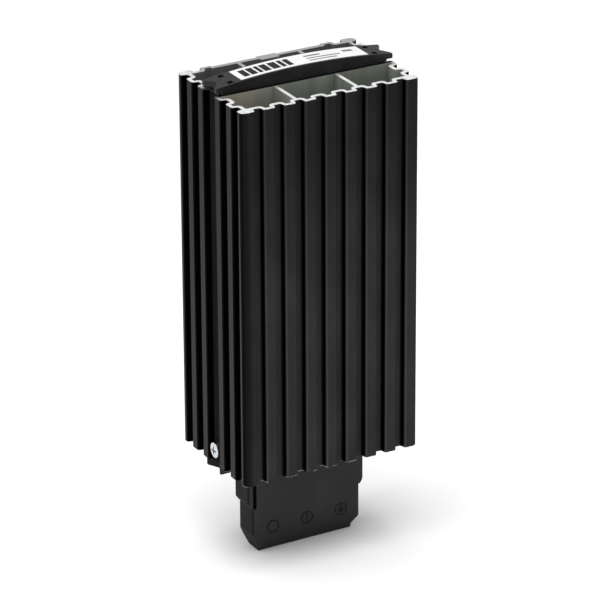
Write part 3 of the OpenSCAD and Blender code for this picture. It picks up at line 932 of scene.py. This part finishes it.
@dataclass(frozen=True)
class StudioFloor:
    """Pale, even floor with faint clouds."""

    color: Color = (0.87, 0.87, 0.87, 1.0)
    shade: Color = (0.85, 0.85, 0.85, 1.0)
    clouds: Cloud = Cloud(3.0, 2.0)
    roughness: float = 0.9
    gloss: float = 0.1

    def make(self, name: str) -> bpy.types.Material:
        """Builds the floor's clouds.

        Args:
            name: Name of the material.

        Returns:
            The material.
        """
        sheet = NodeSheet(name)
        clouds = sheet.noise(sheet.place(), self.clouds)
        sheet.set("Base Color", sheet.mix(clouds, self.color, self.shade))
        sheet.set("Roughness", self.roughness)
        sheet.set("Specular IOR Level", self.gloss)
        return sheet.material


def dress(piece: bpy.types.Object, material: bpy.types.Material) -> None:
    """Gives a piece one material in its only slot."""
    piece.data.materials.clear()
    piece.data.materials.append(material)


class Face(Protocol):
    """A curved face that raised strips can follow."""

    def point(self, u: float, v: float, lift: float) -> Vector:
        """Point of the face at u and v, raised by lift."""


@dataclass(frozen=True)
class ArchFace:
    """Top of the label on the cap's arch: u runs across the heater, v back."""

    body: HeaterBody
    radius: float
    crown: float

    def point(self, u: float, v: float, lift: float) -> Vector:
        """Point on the arch, at u across and v back, raised by lift."""
        drop = self.radius - math.sqrt(self.radius**2 - u * u)
        return self.body.at(u, v, self.crown - drop + lift)


@dataclass(frozen=True)
class BoxFrontFace:
    """Front of the terminal box: u runs across, v up. It curves under below a given height."""

    body: HeaterBody
    depth: float
    curve_z: float
    curve_r: float

    def point(self, u: float, v: float, lift: float) -> Vector:
        """Point on the front face.

        Args:
            u: Distance across, in millimetres.
            v: Height above the extrusion's lower end.
            lift: Height above the face, to the front.

        Returns:
            The point in metres.
        """
        below = max(0.0, self.curve_z - v)
        recede = self.curve_r - math.sqrt(self.curve_r**2 - below * below)
        return self.body.at(u, recede - self.depth / 2 - lift, v)


@dataclass(frozen=True)
class RaisedStrip:
    """A low strip with sloped flanks that follows a path on a face."""

    path: list[Point2]
    width: float
    height: float
    slope: float = 0.0
    sink: float = 0.01
    closed: bool = False

    def add_to(self, mesh: bmesh.types.BMesh, face: Face) -> None:
        """Adds the strip's closed mesh.

        Args:
            mesh: Mesh to add to.
            face: Face that the strip lies on.
        """
        rings = [self._section(mesh, face, k) for k in range(len(self.path))]
        pairs = list(zip(rings, rings[1:]))
        if self.closed:
            pairs.append((rings[-1], rings[0]))
        for a, b in pairs:
            for k in range(len(a)):
                after = (k + 1) % len(a)
                mesh.faces.new((a[k], a[after], b[after], b[k]))
        if not self.closed:
            mesh.faces.new(rings[0][::-1])
            mesh.faces.new(rings[-1])

    def _section(self, mesh: bmesh.types.BMesh, face: Face, k: int) -> list[bmesh.types.BMVert]:
        """Four corners of the strip at one point of its path.

        Args:
            mesh: Mesh to add to.
            face: Face that the strip lies on.
            k: Number of the path's point.

        Returns:
            The corners, round the section.
        """
        count = len(self.path)
        before = self.path[(k - 1) % count if self.closed else max(k - 1, 0)]
        after = self.path[(k + 1) % count if self.closed else min(k + 1, count - 1)]
        along = Vector((after[0] - before[0], after[1] - before[1])).normalized()
        across = Vector((-along.y, along.x))
        half = self.width / 2
        u, v = self.path[k]
        section = ((-half, -self.sink), (half, -self.sink), (half - self.slope, self.height),
                   (self.slope - half, self.height))
        return [mesh.verts.new(face.point(u + across.x * s, v + across.y * s, lift)) for s, lift in section]


def strips_piece(name: str, face: Face, strips: list[RaisedStrip]) -> bpy.types.Object:
    """Makes one piece from raised strips.

    Args:
        name: Name of the piece.
        face: Face that they lie on.
        strips: The strips.

    Returns:
        The piece, riding on the heater.
    """
    shape = bmesh.new()
    for strip in strips:
        strip.add_to(shape, face)
    bmesh.ops.recalc_face_normals(shape, faces=shape.faces)
    data = bpy.data.meshes.new(name)
    shape.to_mesh(data)
    shape.free()
    piece = bpy.data.objects.new(name, data)
    bpy.context.scene.collection.objects.link(piece)
    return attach(piece, ROOT)


@dataclass
class Extrusion:
    """The corrugated extrusion."""

    nodes: dict[str, bpy.types.Object]
    body: HeaterBody

    def build(self) -> list[bpy.types.Object]:
        """Dresses the extrusion.

        Returns:
            Its pieces.
        """
        profile = self.nodes["heat_sink_profile"]
        dress(profile, CoatedExtrusion(self.body).make("coated_extrusion"))
        return [profile]


@dataclass
class CapAndLabel:
    """The arched cap with its label and the label's plain print fields. Sizes are in millimetres.

    A bold row holds a field's start and end across the label, a fine row its start, end, middle and width.
    """

    nodes: dict[str, bpy.types.Object]
    body: HeaterBody
    cap_in: float = 0.3
    arch_rise: float = 2.3
    crown: float = 5.4
    label_t: float = 0.15
    ink_t: float = 0.012
    print_step: float = 0.5
    bold_mid: float = -0.1
    bold_h: float = 6.0
    bold_rows: tuple[Point2, ...] = ((-22.4, -20.1), (-19.5, -17.1), (-16.4, -15.0), (-14.4, -11.8),
                                     (-11.1, -8.1), (-7.4, -5.8), (-5.1, -3.1))
    fine_rows: tuple[tuple[float, float, float, float], ...] = (
        (3.2, 9.6, 1.9, 1.1), (3.2, 16.4, -0.4, 0.8), (3.2, 14.2, -2.4, 0.8), (18.2, 22.2, 1.4, 1.6))
    plastic: MouldedPlastic = MouldedPlastic((0.0095, 0.0095, 0.0096, 1.0), (0.017, 0.017, 0.017, 1.0))
    dark_ink: PrintInk = PrintInk((0.004, 0.004, 0.005, 1.0), (0.014, 0.014, 0.015, 1.0))
    grey_ink: PrintInk = PrintInk((0.1, 0.1, 0.105, 1.0), (0.2, 0.2, 0.205, 1.0))

    def build(self) -> list[bpy.types.Object]:
        """Dresses cap and label and lays the label's plain print fields.

        Returns:
            The pieces.
        """
        cap, label = self.nodes["top_cap"], self.nodes["cap_label"]
        dress(cap, self.plastic.make("cap_plastic"))
        dress(label, WhiteFoil().make("white_foil"))
        face = self._label_face()
        bold_fields = [self._field(start, end, self.bold_mid, self.bold_h) for start, end in self.bold_rows]
        bold = strips_piece("label_bold_fields", face, bold_fields)
        dress(bold, self.dark_ink.make("dark_ink"))
        fine = strips_piece("label_fine_lines", face, [self._field(*row) for row in self.fine_rows])
        dress(fine, self.grey_ink.make("grey_ink"))
        return [cap, label, bold, fine]

    def _label_face(self) -> ArchFace:
        """Top of the label, which follows the cap's arch.

        Returns:
            The face.
        """
        half = self.body.half_w - self.cap_in
        radius = (half**2 + self.arch_rise**2) / (2 * self.arch_rise)
        return ArchFace(self.body, radius + self.label_t, self.body.length + self.crown + self.label_t)

    def _field(self, start: float, end: float, mid: float, width: float) -> RaisedStrip:
        """One plain field of print.

        Args:
            start: Where it starts across the label.
            end: Where it ends.
            mid: Its middle, back from the label's middle.
            width: Its width.

        Returns:
            The strip.
        """
        steps = max(2, round((end - start) / self.print_step))
        path = [(start + (end - start) * k / steps, mid) for k in range(steps + 1)]
        return RaisedStrip(path, width, self.ink_t)


@dataclass
class TerminalHousing:
    """The moulded housing with its three ringed terminals. Sizes are in millimetres.

    Bar and stem run between shares of the ring's inner radius. An earth bar has a drop and half a width.
    """

    nodes: dict[str, bpy.types.Object]
    body: HeaterBody
    box_h: float = 37.5
    depth: float = 9.6
    curve_h: float = 8.0
    curve_r: float = 19.0
    pitch: float = 14.0
    ring_up: float = 9.2
    ring_r: float = 2.3
    ring_w: float = 0.48
    ring_h: float = 0.26
    ring_slope: float = 0.1
    ring_sink: float = 0.03
    ring_steps: int = 48
    bar_ends: tuple[float, ...] = (0.95, 0.3, -0.3, -0.95)
    stem_ends: tuple[float, ...] = (0.95, 0.5, 0.0)
    earth_bars: tuple[Point2, ...] = ((0.0, 1.2), (0.6, 0.8), (1.2, 0.4))
    shade_h: float = 11.5
    low_shade: float = 0.36
    side_shade: float = 0.72
    gloss: float = 0.05

    def build(self) -> list[bpy.types.Object]:
        """Dresses the housing and raises the terminal rings on its front.

        Returns:
            The pieces.
        """
        housing = self.nodes["terminal_housing"]
        dress(housing, self._plastic().make("housing_plastic"))
        # the raised rings are darker than the housing
        ring_finish = MouldedPlastic((0.013, 0.013, 0.0127, 1.0), (0.02, 0.0198, 0.0193, 1.0), gloss=self.gloss)
        mark_plastic = ring_finish.make("mark_plastic")
        face = BoxFrontFace(self.body, self.depth, self.curve_h - self.box_h, self.curve_r)
        pieces = [housing]
        for k, mark in zip((-1, 0, 1), (Mark.PLAIN, Mark.BAR, Mark.EARTH)):
            ring = strips_piece(f"terminal_ring_{mark.value}", face, self._ring(k * self.pitch, mark))
            dress(ring, mark_plastic)
            pieces.append(ring)
        return pieces

    def _plastic(self) -> MouldedPlastic:
        """Finish of the housing, shaded on its sides and towards its lower edge.

        Returns:
            The finish.
        """
        low, high = (self.body.at(0.0, 0.0, z).z for z in (-self.box_h, self.shade_h - self.box_h))
        return MouldedPlastic((0.027, 0.0268, 0.026, 1.0), (0.037, 0.0367, 0.0355, 1.0), gloss=self.gloss,
                              side_shade=self.side_shade, low_shade=self.low_shade, low_band=(low, high))

    def _ring(self, x: float, mark: Mark) -> list[RaisedStrip]:
        """Raised ring of one terminal, with its mark.

        Args:
            x: The terminal's place across.
            mark: What stands in the ring.

        Returns:
            The strips.
        """
        mid = self.ring_up - self.box_h
        turns = [2 * math.pi * k / self.ring_steps for k in range(self.ring_steps)]
        circle = [(x + self.ring_r * math.cos(a), mid + self.ring_r * math.sin(a)) for a in turns]
        strips = [self._line(circle, closed=True)]
        reach = self.ring_r - self.ring_w
        if mark is Mark.BAR:
            strips.append(self._line([(x, mid + reach * t) for t in self.bar_ends]))
        elif mark is Mark.EARTH:
            strips.append(self._line([(x, mid + reach * t) for t in self.stem_ends]))
            for drop, half in self.earth_bars:
                strips.append(self._line([(x + half * t, mid - drop) for t in (-1.0, 0.0, 1.0)]))
        return strips

    def _line(self, path: list[Point2], closed: bool = False) -> RaisedStrip:
        """One raised line of a mark."""
        return RaisedStrip(path, self.ring_w, self.ring_h, self.ring_slope, self.ring_sink, closed)


@dataclass
class Hardware:
    """Screws, clip and the metal inside the terminals."""

    nodes: dict[str, bpy.types.Object]
    zinc: BrightMetal = BrightMetal((0.5, 0.58, 0.7, 1.0), (0.62, 0.58, 0.5, 1.0), (0.18, 0.32))
    strip: BrightMetal = BrightMetal(
        (0.5, 0.51, 0.52, 1.0), (0.42, 0.42, 0.42, 1.0), (0.24, 0.4), Grain.ALONG_X)
    brass: BrightMetal = BrightMetal((0.78, 0.62, 0.32, 1.0), (0.7, 0.52, 0.24, 1.0), (0.22, 0.38))
    plate: BrightMetal = BrightMetal(
        (0.82, 0.83, 0.84, 1.0), (0.74, 0.75, 0.76, 1.0), (0.25, 0.4), Grain.ALONG_Z)

    def build(self) -> list[bpy.types.Object]:
        """Dresses the screws, the clip, the springs and the contact metal.

        Returns:
            The pieces.
        """
        wearers = {
            ("side_screws", "clip_screws", "earth_screw"): self.zinc.make("bright_zinc"),
            ("rail_clip", "clamp_springs"): self.strip.make("rolled_strip"),
            ("contact_bars", "earth_tag"): self.brass.make("stamped_brass"),
            ("electrode_front", "electrode_back"): self.plate.make("rolled_plate"),
        }
        pieces = []
        for names, material in wearers.items():
            for name in names:
                dress(self.nodes[name], material)
                pieces.append(self.nodes[name])
        return pieces


@dataclass
class HeatingPack:
    """Stones, frame, sleeve and inner leads."""

    nodes: dict[str, bpy.types.Object]

    def build(self) -> list[bpy.types.Object]:
        """Dresses what lies inside the core and the housing.

        Returns:
            The pieces.
        """
        finishes: dict[str, Finish] = {
            "ptc_stones": FiredStone(),
            "stone_frame": SoftSkin((0.6, 0.56, 0.45, 1.0), (0.68, 0.64, 0.53, 1.0), roughness=(0.5, 0.65)),
            "insulating_sleeve": SoftSkin(
                (0.5, 0.22, 0.03, 1.0), (0.58, 0.28, 0.05, 1.0), roughness=(0.18, 0.28)),
            "lead_line": SoftSkin((0.11, 0.045, 0.018, 1.0), (0.15, 0.065, 0.028, 1.0)),
            "lead_neutral": SoftSkin((0.02, 0.075, 0.36, 1.0), (0.03, 0.1, 0.43, 1.0)),
            "lead_earth": SoftSkin((0.06, 0.3, 0.05, 1.0), (0.09, 0.36, 0.07, 1.0)),
        }
        for name, finish in finishes.items():
            dress(self.nodes[name], finish.make(f"{name}_skin"))
        return [self.nodes[name] for name in finishes]


def view_direction(azimuth: float, elevation: float) -> Vector:
    """Direction from the heater to a viewer, turned right from the front and up from level, in degrees."""
    a, e = math.radians(azimuth), math.radians(elevation)
    return Vector((math.sin(a) * math.cos(e), -math.cos(a) * math.cos(e), math.sin(e)))


@dataclass(frozen=True)
class SoftBox:
    """One soft light: a wide panel aimed at the heater, with angles in degrees and sizes in metres."""

    name: str
    azimuth: float
    elevation: float
    distance: float
    size: float
    power: float

    def build(self, aim: Vector) -> None:
        """Adds the light.

        Args:
            aim: Point that it looks at.
        """
        data = bpy.data.lights.new(self.name, "AREA")
        data.shape = "SQUARE"
        data.size = self.size
        data.energy = self.power
        lamp = bpy.data.objects.new(self.name, data)
        away = view_direction(self.azimuth, self.elevation)
        lamp.location = aim + away * self.distance
        lamp.rotation_euler = away.to_track_quat("Z", "Y").to_euler()
        bpy.context.scene.collection.objects.link(lamp)


@dataclass
class Studio:
    """Pale floor, even surround light, soft boxes and the camera.

    The camera's angles are in degrees, its distance in metres, its sensor in millimetres and its focal length
    in the picture's pixels.
    """

    body: HeaterBody
    floor_z: float
    floor_gap: float = 0.1
    floor_half: float = 4.0
    floor_cells: int = 8
    azimuth: float = -29.35
    elevation: float = 23.79
    roll: float = -0.312
    distance: float = 1.435145
    focal_px: float = 4071.5
    image_px: float = 600.0
    sensor: float = 36.0
    aim_mm: tuple[float, float, float] = (0.294, 0.0, 55.316)
    surround: float = 0.7
    boxes: tuple[SoftBox, ...] = (
        SoftBox("top_box", azimuth=-60.0, elevation=80.0, distance=1.0, size=0.9, power=11.0),
        SoftBox("left_box", azimuth=-105.0, elevation=20.0, distance=1.2, size=0.5, power=1.6),
        SoftBox("front_box", azimuth=-25.0, elevation=8.0, distance=1.6, size=0.6, power=3.0),
    )

    def build(self) -> None:
        """Sets floor, light and camera."""
        aim = self.body.at(*self.aim_mm)
        self._floor()
        self._surround()
        for box in self.boxes:
            box.build(aim)
        self._camera(aim)
        view = bpy.context.scene.view_settings
        view.view_transform = "Standard"
        view.look = "None"

    def _floor(self) -> None:
        """Lays the floor under the heater."""
        shape = bmesh.new()
        cells = self.floor_cells
        bmesh.ops.create_grid(shape, x_segments=cells, y_segments=cells, size=self.floor_half)
        data = bpy.data.meshes.new("studio_floor")
        shape.to_mesh(data)
        shape.free()
        floor = bpy.data.objects.new("studio_floor", data)
        floor.location.z = self.floor_z - self.floor_gap * MM
        bpy.context.scene.collection.objects.link(floor)
        dress(floor, StudioFloor().make("pale_floor"))
        floor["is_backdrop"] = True

    def _surround(self) -> None:
        """Lights the studio evenly from all round."""
        world = bpy.data.worlds.new("studio")
        world.use_nodes = True
        back = world.node_tree.nodes["Background"]
        back.inputs["Color"].default_value = WHITE
        back.inputs["Strength"].default_value = self.surround
        bpy.context.scene.world = world

    def _camera(self, aim: Vector) -> None:
        """Sets the camera at the picture's angle.

        Args:
            aim: Point in the middle of the picture.
        """
        back = view_direction(self.azimuth, self.elevation)
        a, r = math.radians(self.azimuth), math.radians(self.roll)
        level = Vector((math.cos(a), math.sin(a), 0.0))
        up = back.cross(level)
        right = level * math.cos(r) + up * math.sin(r)
        top = up * math.cos(r) - level * math.sin(r)
        data = bpy.data.cameras.new("camera")
        data.sensor_width = self.sensor
        data.sensor_fit = "HORIZONTAL"
        data.lens = self.focal_px / self.image_px * self.sensor
        camera = bpy.data.objects.new("camera", data)
        turn = Matrix((right, top, back)).transposed().to_4x4()
        camera.matrix_world = Matrix.Translation(aim + back * self.distance) @ turn
        bpy.context.scene.collection.objects.link(camera)
        bpy.context.scene.camera = camera


def corners(box: tuple[Vector, Vector]) -> list[list[float]]:
    """Lowest and highest corner of a box as plain lists."""
    return [[float(v) for v in corner] for corner in box]


def main() -> None:
    """Loads the frame, dresses and adds each sub-assembly in order, and sets the studio."""
    logging.basicConfig(level=logging.INFO, format="%(name)s: %(message)s")
    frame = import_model()
    cad_box = corners(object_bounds())
    nodes = frame["nodes"]
    body = HeaterBody.from_frame()
    assemblies = [
        Extrusion(nodes, body),
        CapAndLabel(nodes, body),
        TerminalHousing(nodes, body),
        Hardware(nodes),
        HeatingPack(nodes),
    ]
    for assembly in assemblies:
        for piece in assembly.build():
            log.info("%s: %s, %d faces", type(assembly).__name__, piece.name, len(piece.data.polygons))
    Studio(body, cad_box[0][2]).build()


if __name__ == "__main__":
    main()
